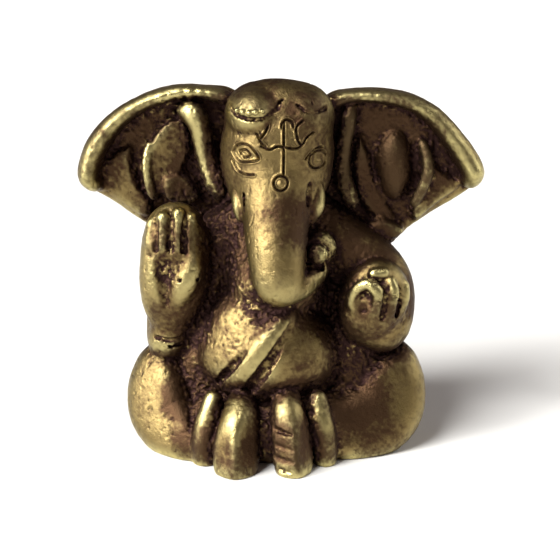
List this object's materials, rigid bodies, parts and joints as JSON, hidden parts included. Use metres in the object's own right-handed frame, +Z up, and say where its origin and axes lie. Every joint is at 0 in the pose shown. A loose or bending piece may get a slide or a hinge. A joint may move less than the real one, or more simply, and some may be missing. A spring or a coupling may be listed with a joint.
{
  "type": "ganesha idol",
  "caption": "Small seated Ganesha idol cast solid in brass, with wide ears, a left-turning trunk and a raised right hand.",
  "frame": {"origin": "on the filed underside, below the middle of the torso", "axes": "+X to the idol's own left, +Y to its back, +Z up"},
  "size_m": [0.0544, 0.0271, 0.0504],
  "materials": {
    "cast_brass": "aged lost-wax casting, rubbed bright on the high places and dark in the hollows"
  },
  "bodies": {
    "root": {"sacred_thread": "cast_brass", "right_temple_dome": "cast_brass", "left_temple_dome": "cast_brass", "right_tusk": "cast_brass", "left_tusk": "cast_brass", "right_thumb": "cast_brass", "right_fingers": "cast_brass", "left_fingers": "cast_brass", "trunk_tip": "cast_brass", "right_fold": "cast_brass", "left_fold": "cast_brass", "right_foot": "cast_brass", "left_foot": "cast_brass", "trunk": "cast_brass", "belly": "cast_brass", "right_palm": "cast_brass", "left_hand": "cast_brass", "right_arm": "cast_brass", "left_arm": "cast_brass", "right_leg": "cast_brass", "left_leg": "cast_brass", "right_ear": "cast_brass", "left_ear": "cast_brass", "head": "cast_brass", "torso": "cast_brass"}
  },
  "joints": []
}
